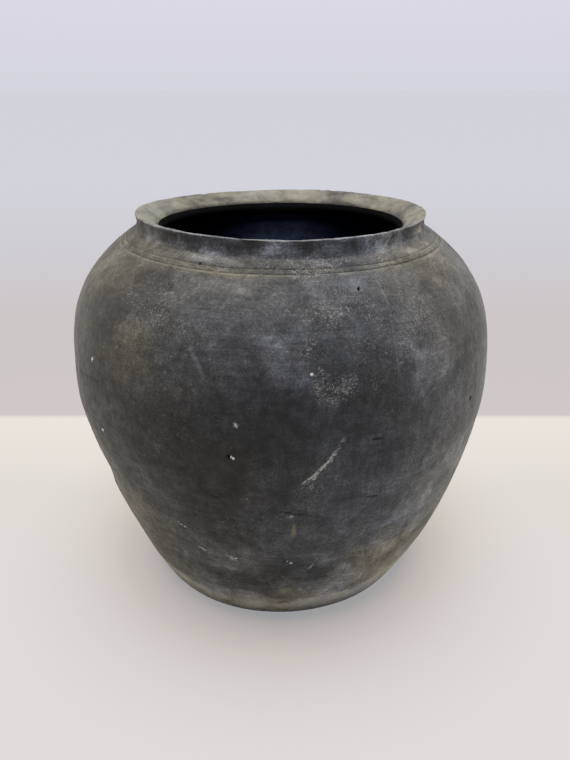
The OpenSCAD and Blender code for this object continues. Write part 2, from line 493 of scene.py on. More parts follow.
def paint_rim(place, marks, outside):
    """The incised lines, with painted shade in them and a painted highlight below them, the
    collar, the lip's painted highlight and the funnel that darkens inwards.
    """
    for index, radius in enumerate(LINES):
        offset = line_offset(place, radius, 21 + 4 * index)
        wear_and_painted_light = 0.7 + 0.5 * noise(place, 60, 1, 86 + index)
        # Painted shade in each incised line, and a painted highlight on the ridge just below it,
        # which is also warmer and flecked with ochre.
        marks["tone"] -= 0.30 * wear_and_painted_light * ridge(offset, LINE_W)
        marks["tone"] += 0.16 * wear_and_painted_light * ridge(offset + 1.3 * MM, 1.4 * MM)
        marks["warm"] += 0.3 * ridge(offset + 1.3 * MM, 2.4 * MM)
        flecks = np.maximum(0.4 + noise(place, 280, 1 * MM, 90 + index), 0)
        marks["ochre"] += 0.25 * wear_and_painted_light * flecks * ridge(offset + 1.0 * MM, 0.9 * MM)
    # Painted shade in the fainter line between them.
    marks["tone"] -= 0.22 * ridge(line_offset(place, MIDDLE_LINE, 51), 0.8 * LINE_W)
    run = place["run"]
    collar = smooth(SKIN_CREASE - 1 * MM, SKIN_CREASE + 1 * MM, run) * outside
    marks["tone"] += collar * (0.13 * layered(place, 46, 5 * MM, 81, 4) + 0.08)
    marks["warm"] -= 0.45 * collar
    # Painted highlight: the rounded top of the lip is made paler.
    lip = ridge(run - SKIN_LIP - 1 * MM, 1.6 * MM)
    marks["tone"] += 0.35 * lip * (0.8 + 0.3 * noise(place, 200, 1, 82))
    inside = 1 - outside
    degrees = degrees_round(place)
    ragged = 0.8 * MM * noise(place, 30, 1, 83) + 0.6 * MM * noise(place, 90, 2 * MM, 85)
    ragged = ragged + 1.2 * MM * smooth(30, 70, 180 - np.abs(degrees))
    dark = 1 - smooth(3.2 * MM, 8.6 * MM, SKIN_END - run + ragged)
    mottle = 0.10 * layered(place, 36, 8 * MM, 84, 4)
    left = smooth(45, 70, -degrees) * (1 - smooth(105, 125, -degrees))
    far_left = smooth(110, 130, -degrees) * (1 - smooth(155, 175, -degrees))
    pale = 0.48 + 1.1 * mottle + 0.10 * left - 0.08 * far_left
    marks["tone"] = marks["tone"] * outside + inside * pale
    behind = 0.3 + 0.7 * smooth(45, 75, np.abs(degrees))
    marks["warm"] = marks["warm"] * outside + inside * behind * (0.8 + mottle - 0.3 * left)
    marks["ochre"] += inside * behind * (0.2 + 0.2 * left + 2 * mottle)
    marks["chalk"] *= outside
    marks["black"] += inside * dark


# Lightness of the clay at each height (mm), and its warmth at each angle
# The paler band at the foot, which fades out by about 45 mm, is painted light in place of the
# light that the table throws up.
TONE_HEIGHTS = [0, 12, 25, 45, 70, 100, 130, 160, 180, 200, 208]
TONES = [1.14, 0.98, 0.57, 0.35, 0.35, 0.23, 0.13, 0.16, 0.20, 0.30, 0.26]
WARM_DEGREES = [-180, -120, -65, -40, -25, 0, 20, 35, 55, 100, 180]
WARMTHS = [0.5, 0.7, 1.0, 0.85, 0.42, 0.22, 0.02, 0.32, 0.62, 0.5, 0.5]

# Broad stains of each kind: degrees, height, width, tallness (mm), share, and a tilt if any
BLOTS = {
    "warm": [
        (38, 40, 70, 60, 0.2), (-5, 14, 90, 26, 0.12), (24, 50, 36, 36, 0.3),
        (62, 213, 14, 8, 0.6), (-37, 166, 30, 30, 0.3)],
    "tone": [
        (9, 213, 16, 5, 0.06), (6, 206, 80, 7, -0.12), (-25, 105, 30, 50, -0.05),
        (-45, 130, 60, 60, -0.05), (46, 182, 20, 26, 0.08), (-12, 105, 24, 40, -0.06),
        (62, 178, 30, 20, -0.1), (6, 100, 16, 30, 0.06), (-56, 16, 26, 16, 0.12),
        (35, 168, 30, 30, -0.05), (25, 95, 70, 30, 0.04), (28, 55, 50, 30, 0.03),
        (-34, 55, 24, 20, 0.05), (-55, 145, 60, 70, -0.06), (-28, 118, 40, 40, -0.07),
        (60, 168, 40, 40, -0.08), (15, 191, 24, 12, -0.07), (0, 172, 30, 20, 0.05),
        (6, 135, 16, 24, 0.05), (35, 138, 20, 16, 0.05), (10, 95, 30, 20, 0.06),
        (35, 74, 20, 40, 0.07), (-32, 60, 24, 16, 0.06), (15, 50, 10, 10, 0.08),
        (62, 213.5, 14, 6, 0.2), (49, 207, 14, 6, 0.18), (-52, 210, 12, 6, 0.15),
        (-60, 206, 10, 5, -0.15), (24, 212, 8, 8, 0.1), (-22, 118, 50, 50, -0.1),
        (-15, 95, 20, 40, -0.1), (36, 78, 24, 50, 0.08), (22, 48, 30, 36, 0.1),
        (45, 125, 40, 40, 0.07), (-16, 112, 30, 78, -0.16), (14, 152, 32, 26, -0.13),
        (-3, 148, 34, 34, -0.07), (24, 150, 22, 30, -0.11), (37, 168, 28, 30, 0.24, 20),
        (28, 192, 34, 14, -0.1), (-38, 199, 22, 14, -0.26), (-45, 184, 22, 12, -0.18, 30),
        (61, 177, 22, 9, -0.2, 30), (54, 188, 18, 18, 0.12), (-36, 165, 30, 34, 0.08),
        (3, 172, 16, 28, 0.12), (-32, 43, 42, 14, -0.12), (-14, 36, 24, 18, -0.1),
        (4, 52, 36, 14, -0.14), (12, 46, 14, 10, -0.12), (51, 101, 24, 20, 0.12),
        (-50, 65, 34, 50, 0.08), (32, 30, 60, 60, 0.08), (-5, 115, 14, 18, 0.1),
        (11, 161, 15, 11, 0.16, -20), (-4.5, 212, 13, 6, 0.12), (4, 205.5, 46, 6, -0.16),
        (39, 213, 10, 8, 0.15), (-26, 208, 24, 5, 0.2), (-17, 207.5, 10, 5, 0.2),
        (-20, 213, 26, 5, -0.05), (12, 211, 34, 9, -0.1), (0, 28, 18, 10, 0.12),
        (10, 60, 6, 14, 0.1, 10)],
    "ochre": [
        (49, 207, 10, 5, 0.3), (-17, 203.5, 20, 2.5, 0.12), (2.8, 87, 3, 10, 0.5),
        (1.5, 30, 7, 5, 0.5)],
    "chalk": [
        (11, 161, 16, 12, 0.9, -20), (36, 167, 28, 32, 0.25, 20), (4, 176, 22, 10, 0.4),
        (-26, 190, 36, 20, 0.15), (3, 192, 60, 14, 0.3), (7, 114, 12, 14, 0.5)],
    "white": [
        (2, 95, 3, 4, 0.4)]}

# Scratches and small marks of each kind: places (degrees, height), width (mm), share
STROKES = {
    "white": [
        ([(13.8, 138), (12.2, 133), (11.5, 130)], 1.2, 0.6),
        ([(11.5, 130), (9.5, 125), (7, 119), (5.4, 116.5)], 2.2, 0.8),
        ([(10.6, 125), (8.2, 119), (6.6, 113)], 1.6, 0.4),
        ([(-28.2, 78.5), (-26.4, 76.5)], 1.4, 0.9), ([(-25.4, 75.5), (-24.9, 74.5)], 1.4, 0.7),
        ([(-24, 63), (-21, 60.5)], 1.4, 0.9), ([(-15.2, 60.5), (-13.8, 59)], 3.2, 0.85),
        ([(1.2, 60.6), (2.1, 59.4)], 1.6, 1.0), ([(9.4, 61), (7.4, 53)], 1.2, 0.45),
        ([(-9.3, 146.8), (-8.8, 144.4)], 1.0, 0.7), ([(-9.5, 145), (-8.6, 145.9)], 0.8, 0.6),
        ([(-50.8, 159), (-51.2, 156.5)], 1.1, 0.8),
        ([(34, 214.5), (38, 210.5), (42, 215)], 0.9, 0.3)],
    "tone": [
        ([(-6.8, 212.6), (-2.4, 213.2)], 5.5, 0.2), ([(-33, 208.5), (-22, 206.5)], 4.0, 0.16),
        ([(16, 140), (21, 136)], 6.0, 0.1),
        ([(-20, 176), (-18, 171), (-16.3, 165.5)], 2.0, 0.25),
        ([(-17.8, 160), (-17.6, 140)], 2.4, 0.14), ([(-19.4, 158), (-19.2, 134)], 1.6, 0.12),
        ([(28, 200), (28.5, 193), (27.2, 178), (27, 164)], 1.0, 0.14)],
    "black": [
        ([(57, 187), (62, 181), (64, 173)], 3.0, 0.3), ([(50, 191), (55, 188)], 1.6, 0.2)]}

# Small holes: degrees, height, size, depth (mm)
PITS = [
    (21.5, 197.8, 1.25, 1.3), (53.2, 135.5, 2.2, 1.0), (-10.9, 129.8, 1.9, 0.9),
    (-25.3, 205.6, 1.8, 0.6), (-22, 89.5, 1.6, 0.5), (-4.8, 97, 1.4, 0.4), (5.5, 115, 1.2, 0.4),
    (-13.8, 165, 1.0, 0.35), (-15.6, 59, 1.4, 0.4), (0.4, 61.3, 1.3, 0.4), (130, 150, 2.0, 0.8),
    (-110, 175, 1.6, 0.7), (170, 110, 1.8, 0.8), (-155, 60, 2.2, 0.9), (100, 80, 1.5, 0.6)]

# Drying cracks: places (degrees, height), width, depth (mm)
CRACKS = [
    ([(-60, 145.5), (-56, 146), (-51, 148), (-47, 149)], 1.0, 0.25),
    ([(-16.2, 105.5), (-14.6, 105)], 0.9, 0.3), ([(-0.2, 99), (2, 98.4)], 0.9, 0.35),
    ([(2.8, 97.3), (5, 96.4)], 0.9, 0.35), ([(20.3, 135.5), (23, 135)], 1.0, 0.35),
    ([(20.4, 102.5), (22.8, 102)], 1.0, 0.4), ([(120, 95), (124, 96)], 1.0, 0.35),
    ([(-130, 130), (-124, 127)], 1.0, 0.3)]

# Shallow hollows, or swellings where the depth is negative: degrees, height, width,
# tallness, depth (mm)
DENTS = [
    (-64, 81, 36, 14, 1.1), (80, 150, 90, 70, -0.5), (-24, 2, 60, 16, -0.5)]

# Chips along the rim's edge: degrees, width, depth (mm)
CHIPS = [
    (5, 50, 0.7), (40, 3, 0.5), (44, 2.5, 0.5), (86, 3, 0.7), (91, 4, 1.1), (97, 2.5, 0.7),
    (-3, 2, -0.2), (160, 4, 0.5), (-140, 3, 0.5), (-60, 3, 0.3)]


# ------------------------------------------------ grids of points turned about +Z

def sample(path, start, end, step):
    """Even steps along a path, both ends included: distances, points, normals."""
    count = max(2, int(round(abs(end - start) / step)) + 1)
    run = np.linspace(start, end, count)
    point, left = path.at(run)
    return run, point, left


def turned(radius, height, columns):
    """Points for every column of each row, with the pot's lean."""
    angle = np.arange(columns) * 2 * math.pi / columns
    radius = np.broadcast_to(radius, (len(radius), columns))
    height = np.broadcast_to(height, (len(height), columns))
    return lean(np.stack([radius * np.sin(angle), -radius * np.cos(angle), height], -1))


def lean(points):
    """The whole pot's slight lean, and the rise and fall of its rim."""
    x = points[..., 0]
    y = points[..., 1]
    z = points[..., 2]
    radius = np.maximum(np.hypot(x, y), 1 * MM)
    c = x / radius
    s = y / radius
    sway = SWAY * np.sin(z / POT_TOP * 2 * math.pi) - 1.2 * MM * (1 - smooth(0, 45 * MM, z))
    sway = sway - 1.2 * MM * smooth(203 * MM, 214 * MM, z) * np.maximum(-c, 0) ** 2
    rise = (-0.12 * c - 0.87 * s + 0.33 * (c * c - s * s) + 0.54 * c * s) * MM
    rise = rise * smooth(120 * MM, 215 * MM, z) * smooth(0, 40 * MM, radius)
    dip = (0.2 + 0.5 * np.exp(-((c - 0.1) / 0.35) ** 2)) * np.maximum(-s, 0) * MM
    rise = rise - dip * smooth(195 * MM, 215 * MM, z)
    return np.stack([x + sway, y, z + rise], -1)


class Surface:
    """A visible surface as rows and columns of points, normals and markings."""

    def __init__(self, run, point, normal, columns, relief, paint):
        rows = len(run)
        shape = (rows, columns)
        self.columns = columns
        self.run = np.broadcast_to(run[:, None], shape)
        place = {
            "turn": np.broadcast_to(np.arange(columns) / columns, shape).reshape(-1),
            "run": self.run.reshape(-1),
            "radius": np.broadcast_to(point[:, 0:1], shape).reshape(-1),
            "height": np.broadcast_to(point[:, 1:2], shape).reshape(-1)}
        push = relief(place).reshape(shape)
        self.layers = {name: mark.reshape(shape) for name, mark in paint(place).items()}
        self.points = turned(point[:, 0:1] + push * normal[:, 0:1],
                             point[:, 1:2] + push * normal[:, 1:2], columns)
        across = np.roll(self.points, -1, 1) - np.roll(self.points, 1, 1)
        up = np.gradient(self.points, axis=0)
        facing = np.cross(across, up)
        self.normals = facing / np.linalg.norm(facing, axis=-1, keepdims=True)

    def rows(self, first, last):
        """A part of the surface, for one piece."""
        part = slice(first, last + 1)
        layers = {name: mark[part] for name, mark in self.layers.items()}
        layers["run"] = self.run[part]
        return {"points": self.points[part], "normals": self.normals[part], "layers": layers}


def plain(profile, columns):
    """Rows of a hidden surface, from its outline."""
    profile = np.asarray(profile, float)
    return {"points": turned(profile[:, 0:1], profile[:, 1:2], columns)}


def spaced(points, step=3 * MM):
    """Points no further apart than a step on straight runs from point to point."""
    runs = []
    for a, b in zip(points, points[1:]):
        count = max(2, int(round(np.linalg.norm(np.subtract(b, a)) / step)) + 1)
        runs.append(np.linspace(a, b, count))
    return joined(*runs)


def quads(rows, columns, closed=True):
    """The corners of each face between rows of points that run all the way round."""
    i = np.arange(rows if closed else rows - 1)[:, None]
    j = np.arange(columns)[None, :]
    up = (i + 1) % rows
    right = (j + 1) % columns
    return np.stack([i * columns + j, i * columns + right,
                     up * columns + right, up * columns + j], -1).reshape(-1, 4)


def build_piece(name, parts, slot, poles=None):
    """A closed piece from rows of points, which end at the axis if it has poles."""
    points = np.concatenate([part["points"] for part in parts])
    rows, columns = points.shape[:2]
    loops = quads(rows, columns, closed=poles is None).reshape(-1)
    starts = np.arange(0, len(loops), 4)
    flat = points.reshape(-1, 3)
    if poles:
        ring = np.arange(columns)
        after = (ring + 1) % columns
        low = rows * columns
        last = low - columns
        fan = np.concatenate([np.stack([np.full(columns, low), after, ring], 1),
                              np.stack([np.full(columns, low + 1), last + ring, last + after], 1)])
        starts = np.r_[starts, len(loops) + np.arange(len(fan)) * 3]
        loops = np.r_[loops, fan.reshape(-1)]
        flat = np.concatenate([flat, lean(np.array([[0, 0, z] for z in poles], float))])
    mesh = bpy.data.meshes.new(name)
    mesh.vertices.add(len(flat))
    mesh.vertices.foreach_set("co", flat.reshape(-1).astype(np.float32))
    mesh.loops.add(len(loops))
    mesh.loops.foreach_set("vertex_index", loops.astype(np.int32))
    mesh.polygons.add(len(starts))
    mesh.polygons.foreach_set("loop_start", starts.astype(np.int32))
    mesh.update(calc_edges=True)
    mesh.shade_smooth()
    mesh.set_sharp_from_angle(angle=SHARP)
    set_layers(mesh, parts, columns)
    set_normals(mesh, parts, rows, columns, loops)
    new_piece(name, mesh, slot)


def set_layers(mesh, parts, columns):
    """Store the markings of the visible rows, one number per point."""
    names = sorted({name for part in parts for name in part.get("layers", {})})
    for name in names:
        whole = np.zeros(len(mesh.vertices), np.float32)
        first = 0
        for part in parts:
            count = part["points"].shape[0] * columns
            if "layers" in part:
                whole[first:first + count] = part["layers"][name].reshape(-1)
            first += count
        layer = mesh.attributes.new(name, 'FLOAT', 'POINT')
        layer.data.foreach_set("value", whole)


def set_normals(mesh, parts, rows, columns, loops):
    """Give the visible faces the surface's normals, so that no joint shows."""
    normals = np.zeros((len(mesh.vertices), 3))
    seen = np.zeros(rows, bool)
    first = 0
    for part in parts:
        count = part["points"].shape[0]
        if "normals" in part:
            start = first * columns
            normals[start:start + count * columns] = part["normals"].reshape(-1, 3)
            seen[first:first + count - 1] = True
        first += count
    chosen = np.zeros((len(loops), 3))
    faces = np.nonzero(np.repeat(seen, columns))[0]
    corners = (faces[:, None] * 4 + np.arange(4)).reshape(-1)
    corners = corners[corners < len(loops)]
    chosen[corners] = normals[loops[corners]]
    mesh.normals_split_custom_set(chosen)


def show(name, data):
    """A new object in the scene."""
    thing = bpy.data.objects.new(name, data)
    bpy.context.scene.collection.objects.link(thing)
    return thing


def new_piece(name, mesh, slot):
    """An object that rides on the pot and stands for the CAD node of its name."""
    piece = show(name, mesh)
    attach(piece, BODY)
    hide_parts(name)
    mesh.materials.append(MATERIALS[slot])


# ------------------------------------------------ materials

class Nodes:
    """Short ways to add and link the nodes of a material or a world."""

    def __init__(self, owner):
        owner.use_nodes = True
        self.owner = owner
        self.tree = owner.node_tree
        self.shader = self.tree.nodes.get("Principled BSDF")

    def new(self, kind):
        return self.tree.nodes.new(kind)

    def put(self, value, socket):
        """Link a socket's value, or set a plain number or colour."""
        if isinstance(value, bpy.types.NodeSocket):
            self.tree.links.new(value, socket)
        elif isinstance(value, tuple) and len(value) == 3 and socket.type == 'RGBA':
            socket.default_value = (*value, 1)
        else:
            socket.default_value = value

    def fill(self, node, **values):
        """Link or set a node's inputs, whose names have _ for each space."""
        for name, value in values.items():
            self.put(value, node.inputs[name.replace("_", " ")])
        return node.outputs

    def math(self, operation, a, b=0.0, clamp=False):
        node = self.new("ShaderNodeMath")
        node.operation = operation
        node.use_clamp = clamp
        self.put(a, node.inputs[0])
        self.put(b, node.inputs[1])
        return node.outputs[0]

    def add(self, a, b):
        return self.math('ADD', a, b)

    def times(self, a, b, clamp=False):
        return self.math('MULTIPLY', a, b, clamp)

    def mix(self, share, a, b):
        node = self.new("ShaderNodeMix")
        node.data_type = 'RGBA'
        node.clamp_factor = True
        return self.fill(node, Factor=share, A=a, B=b)["Result"]

    def layer(self, name):
        """A marking stored on the mesh."""
        node = self.new("ShaderNodeAttribute")
        node.attribute_name = name
        return node.outputs["Fac"]

    def noise(self, vector, scale, detail=3.0, rough=0.5, warp=0.0):
        node = self.new("ShaderNodeTexNoise")
        return self.fill(node, Vector=vector, Scale=scale, Detail=detail, Roughness=rough,
                         Distortion=warp)["Fac"]

    def ramp(self, value, low, high, to_low=0.0, to_high=1.0, how='SMOOTHSTEP'):
        """Carry low to to_low and high to to_high."""
        node = self.new("ShaderNodeMapRange")
        node.interpolation_type = how
        return self.fill(node, Value=value, From_Min=low, From_Max=high, To_Min=to_low,
                         To_Max=to_high)["Result"]

    def place(self, kind="Object"):
        return self.new("ShaderNodeTexCoord").outputs[kind]

    def split(self, vector):
        """The parts of a vector, by the names X, Y and Z."""
        return self.fill(self.new("ShaderNodeSeparateXYZ"), Vector=vector)

    def turned_place(self, place, squeeze):
        """A place that changes fast up the wall and slowly round it, for turning lines."""
        split = self.split(place)
        up = self.times(self.layer("run"), squeeze)
        return self.fill(self.new("ShaderNodeCombineXYZ"), X=split["X"], Y=split["Y"], Z=up)[0]

    def squeezed(self, place, share):
        """A place that changes slowly up the wall, for upright wiping marks."""
        return self.fill(self.new("ShaderNodeMapping"), Vector=place, Scale=(1, 1, share))[0]

    def grooves(self, place, tilt, across, along):
        """A place that changes fast across and slowly along lines drawn on the front."""
        node = self.new("ShaderNodeMapping")
        node.vector_type = 'TEXTURE'
        return self.fill(node, Vector=place, Rotation=(0, -tilt, 0),
                         Scale=(1 / along, 1 / along, 1 / across))[0]

    def tones(self, value, stops):
        """A colour ramp through stops, each a position and a colour, in rising order."""
        node = self.new("ShaderNodeValToRGB")
        elements = node.color_ramp.elements
        while len(elements) < len(stops):
            elements.new(0.5)
        for index, (position, colour) in enumerate(stops):
            elements[index].position = position
            elements[index].color = (*colour, 1)
        return self.fill(node, Fac=value)["Color"]

    def bump(self, height, distance, strength):
        node = self.new("ShaderNodeBump")
        return self.fill(node, Strength=strength, Distance=distance, Height=height)[0]

    def seen(self):
        """1 for what the camera sees directly, 0 for the light that things reflect."""
        return self.new("ShaderNodeLightPath").outputs["Is Camera Ray"]

    def finish(self, **values):
        """Link or set the shader's inputs, and give back the material."""
        self.fill(self.shader, **values)
        return self.owner


def new_material(name):
    return Nodes(bpy.data.materials.new(name))


def greys(red, blue):
    """Five even stops of clay from nearly black to pale, tinted towards red or blue."""
    levels = (0.008, 0.0185, 0.0435, 0.102, 0.24)
    return [(index / 4, (g * red, g, g * blue)) for index, g in enumerate(levels)]


def skin_material(name):
    """Fired clay with dust, stains, turning lines, chalky specks and small holes."""
    n = new_material(name)
    place = n.place()
    streak = n.noise(n.turned_place(place, 40), 22, 4, 0.6)
    fine_streak = n.noise(n.turned_place(place, 60), 50, 3, 0.6)
    cloud = n.noise(place, 60, 5, 0.65, 0.4)
    mottle = n.noise(place, 170, 5, 0.7, 0.5)
    grain = n.noise(place, 900, 3, 0.65)
    fine = n.noise(place, 1900, 2, 0.6)
    dust = n.noise(place, 420, 4, 0.7, 0.3)
    wiped = n.noise(n.squeezed(place, 0.16), 420, 3, 0.6)
    tone = n.layer("tone")
    for source, share in ((streak, 0.2), (fine_streak, 0.22), (cloud, 0.5), (mottle, 0.45),
                          (grain, 0.45), (fine, 0.8), (dust, 0.3), (wiped, 0.3)):
        tone = n.add(tone, n.times(n.math('SUBTRACT', source, 0.5), share))
    cool = n.tones(tone, greys(0.94, 1.26))
    warm = n.tones(tone, greys(1.10, 0.74))
    colour = n.mix(n.layer("warm"), cool, warm)
    chalk = n.layer("chalk")
    specks = n.ramp(n.noise(place, 650, 4, 0.75, 0.6), 0.56, 0.68)
    dots = n.ramp(n.noise(place, 1500, 1, 0.5), 0.58, 0.68)
    dots = n.times(dots, n.ramp(chalk, 0.2, 0.7))
    level = n.noise(place, 320, 2, 0.5, 1.0)
    curls = n.ramp(n.math('ABSOLUTE', n.math('SUBTRACT', level, 0.5)), 0.0, 0.018, 0.8, 0.0)
    curls = n.times(curls, n.ramp(chalk, 0.5, 1.0))
    specks = n.math('MAXIMUM', n.math('MAXIMUM', specks, dots), curls)
    specks = n.times(n.times(specks, chalk, clamp=True), 0.7)
    colour = n.mix(specks, colour, (0.15, 0.145, 0.135))
    colour = n.mix(n.layer("ochre"), colour, (0.115, 0.11, 0.062))
    hatch = n.noise(n.grooves(place, SCRATCH_TILT, 1300, 240), 1, 2, 0.5)
    broken = n.times(n.ramp(hatch, 0.46, 0.56), n.ramp(grain, 0.4, 0.55, 0.2, 1.0))
    colour = n.mix(n.times(n.layer("white"), broken), colour, (0.25, 0.25, 0.24))
    # Black in the funnel towards the throat and in a few dark stains, and painted shade in the
    # deeper pits and the cracks.
    colour = n.mix(n.layer("black"), colour, (0.003, 0.003, 0.0035))
    rough = n.ramp(n.noise(place, 200, 4, 0.6), 0.3, 0.7, 0.72, 0.92)
    height = n.add(n.times(grain, 0.6), n.times(fine_streak, 0.8))
    height = n.add(height, n.times(dust, 0.7))
    n.shader.inputs["Specular IOR Level"].default_value = 0.22
    n.shader.inputs["Sheen Weight"].default_value = 0.035
    n.shader.inputs["Sheen Roughness"].default_value = 0.5
    return n.finish(Base_Color=colour, Roughness=rough, Normal=n.bump(height, 0.12 * MM, 0.8))


def raw_material(name, dark, pale):
    """Plain clay or slip that never sees the light."""
    n = new_material(name)
    place = n.place()
    cloud = n.noise(place, 90, 5, 0.65)
    grain = n.noise(place, 700, 3, 0.6)
    colour = n.mix(n.ramp(cloud, 0.3, 0.7), dark, pale)
    return n.finish(Base_Color=colour, Roughness=n.ramp(grain, 0.3, 0.7, 0.75, 0.95),
                    Normal=n.bump(grain, 0.1 * MM, 0.7))


def coat_material(name):
    """A thin glossy coat, blacker and rougher where it thins out in the funnel."""
    n = new_material(name)
    place = n.place()
    fade = n.layer("fade")
    drops = n.noise(place, 120, 4, 0.6)
    rough = n.add(n.ramp(drops, 0.3, 0.7, 0.10, 0.22), n.times(fade, 0.85))
    colour = n.mix(n.ramp(drops, 0.35, 0.7), (0.018, 0.021, 0.040), (0.030, 0.035, 0.066))
    colour = n.mix(n.ramp(fade, 0.0, 0.6), colour, (0.0018, 0.0018, 0.002))
    n.shader.inputs["Specular IOR Level"].default_value = 0.03
    return n.finish(Base_Color=colour, Roughness=rough,
                    Normal=n.bump(n.noise(place, 300, 3, 0.5), 0.05 * MM, 0.5))


def grit_material(name):
    """Off-white mineral."""
    n = new_material(name)
    place = n.place()
    colour = n.mix(n.ramp(n.noise(place, 900, 3, 0.6), 0.3, 0.7), (0.20, 0.19, 0.17),
                   (0.46, 0.44, 0.40))
    return n.finish(Base_Color=colour, Roughness=0.8,
                    Normal=n.bump(n.noise(place, 1500, 3, 0.6), 0.1 * MM, 0.6))


MATERIALS = {
    "black_clay": skin_material("black_clay"),
    "dusty_clay": skin_material("dusty_clay"),
    "raw_clay": raw_material("raw_clay", (0.03, 0.03, 0.03), (0.07, 0.067, 0.062)),
    "slip": raw_material("slip", (0.015, 0.015, 0.016), (0.03, 0.029, 0.028)),
    "gloss_coat": coat_material("gloss_coat"),
    "white_grit": grit_material("white_grit")}


# ------------------------------------------------ the pieces

def slip_ends(joint):
    """Both ends of a joint's ring of slip, and the way up to its surface."""
    out, slope, length = joint
    along = np.array([math.cos(slope), math.sin(slope)])
    up = np.array([-along[1], along[0]]) * SLIP_T / 2
    return out - along * SLIP_INSET, out - along * (length - SLIP_INSET), up


def joint_face(joint, inner_end, side):
    """The face of a joint from outside to inside, with half the slip's pocket."""
    a, b, up = slip_ends(joint)
    return [joint[0], a, a + up * side, b + up * side, b, inner_end]


def build_skin():
    """The pot's outside, rim and funnel, with the row at which each section ends."""
    sections = [("under", SKIN_FOOT, 4), ("foot", SKIN_BASE, 0.4), ("low", SKIN_WALL, 0.6),
                ("high", SKIN_NECK, 0.6), ("neck", SKIN_CREASE, 0.3), ("collar", SKIN_LIP, 0.35),
                ("lip", SKIN_TOP, 0.2), ("funnel", SKIN_END, 0.4)]
    start = 1 * MM
    samples = []
    rows = 0
    ends = {}
    for name, end, step in sections:
        skip = 1 if samples else 0
        samples.append([part[skip:] for part in sample(skin, start, end, step * MM)])
        rows += len(samples[-1][0])
        ends[name] = rows - 1
        start = end
    run, point, left = [np.concatenate(parts) for parts in zip(*samples)]
    return Surface(run, point, -left, COLUMNS, relief, paint), ends


def build_walls():
    """The five pieces that show on the outside, each with its hidden faces."""
    surface, ends = build_skin()
    top_run = bare.run[-1]

    # Each seam between pieces: its joint, how far up the lining it ends, and that place
    seams = [(BASE_JOINT, 0, corner)]
    for joint, start in ((WALL_JOINT, 0.0), (NECK_JOINT, top_run - 60 * MM),
                         (RIM_JOINT, top_run - 20 * MM)):
        run = bare.crossing(joint[0], joint[1], start)
        seams.append((joint, run, bare.at([run])[0][0]))

    under = joined(spaced(joint_face(BASE_JOINT, corner, -1)),
                   spaced([corner, (1 * MM, FLOOR_T)], 4 * MM))
    build_piece("base_slab", [surface.rows(0, ends["foot"]), plain(under[1:], COLUMNS)],
                "black_clay", poles=(0, FLOOR_T))
    for low, top, name, first, last, step, slot in (
            (seams[0], seams[1], "lower_wall", "foot", "low", 4 * MM, "black_clay"),
            (seams[1], seams[2], "shoulder_wall", "low", "high", 4 * MM, "black_clay"),
            (seams[2], seams[3], "neck_ring", "high", "neck", 3 * MM, "dusty_clay")):
        back = joined(spaced(joint_face(top[0], top[2], -1)),
                      sample(bare, top[1], low[1], step)[1],
                      spaced(joint_face(low[0], low[2], 1)[::-1]))
        build_piece(name, [surface.rows(ends[first], ends[last]), plain(back[1:-1], COLUMNS)],
                    slot)
    rim_run, rim_end = seams[3][1:]
    back = joined(sample(bare, top_run, rim_run, 1 * MM)[1],
                  spaced(joint_face(RIM_JOINT, rim_end, 1)[::-1]))
    build_piece("rim_ring", [surface.rows(ends["neck"], ends["funnel"]),
                             plain(back[1:-1], COLUMNS)], "dusty_clay")


def coil_outlines():
    """The front of the base coil and the round face of the wall coil."""
    gap = [np.linalg.norm(bare.points - p, axis=1).min() for p in coil_front.points]
    front = coil_front.points[:int(np.argmin(gap)) + 1]
    near = np.linalg.norm(bare.points - coil_centre, axis=1) < WALL_COIL_R
    behind = np.nonzero(near)[0]
    low = bare.points[behind[0]] - coil_centre
    high = bare.points[behind[-1]] - coil_centre
    start = math.atan2(low[1], low[0]) % (2 * math.pi)
    end = math.atan2(high[1], high[0]) % (2 * math.pi)
    sweep = np.linspace(start, end, 40)
    arc = coil_centre + WALL_COIL_R * np.stack([np.cos(sweep), np.sin(sweep)], 1)
    return front, arc, bare.run[behind[0]], bare.run[behind[-1]]


def build_inside():
    """Both coils, and the coat that lines the floor, the coils, the wall and the neck."""
    front, arc, coil_low, coil_high = coil_outlines()
    front_run = bare.nearest(front[-1])
    columns = COLUMNS // 4
    outline = joined(spaced([front[0], corner], 2 * MM), sample(bare, 0, front_run, 2 * MM)[1],
                     spaced(front[::6][::-1], 2 * MM))
    build_piece("base_coil", [plain(outline, columns)], "raw_clay")
    outline = joined(sample(bare, coil_low, coil_high, 2 * MM)[1], arc[::-1][1:-1])
    build_piece("wall_joint_coil", [plain(outline, columns)], "raw_clay")

    funnel = skin.points[::-1]
    climb = funnel[:int(np.argmax(funnel[:, 1] > THROAT_Z + COAT_CLIMB))]
    between = bare.points[(bare.run > front_run) & (bare.run < coil_low)]
    above = bare.points[bare.run > coil_high]
    lining = Path(joined(np.linspace((1 * MM, FLOOR_T), front[0], 80), front,
                         between, arc, above, climb))
    run, back, left = sample(lining, 0, lining.run[-1], 1.2 * MM)
    to_edge = lining.run[-1] - run
    thick = COAT_T * (0.12 + 0.88 * smooth(0, 7 * MM, to_edge))
    face = back + left * thick[:, None]
    columns = COLUMNS // 2
    surface = Surface(to_edge[::-1], face[::-1], left[::-1], columns, coat_relief, coat_paint)
    build_piece("inner_coat", [plain(back, columns), surface.rows(0, len(run) - 1)],
                "gloss_coat", poles=(FLOOR_T, FLOOR_T + COAT_T))


def coat_relief(place):
    """Finger ridges of the turning, which fade out at the coat's thin edge."""
    out = 0.20 * noise(place, 4, 7 * MM, 31) + 0.12 * noise(place, 30, 16 * MM, 32)
    out = out + 0.02 * noise(place, 90, 5 * MM, 33)
    return out * MM * smooth(0, 8 * MM, place["run"]) * smooth(0, 12 * MM, place["radius"])


def coat_paint(place):
    """How close each point is to the coat's thin edge, where it turns dull."""
    return {"fade": 1 - smooth(4 * MM, 14 * MM, place["run"])}


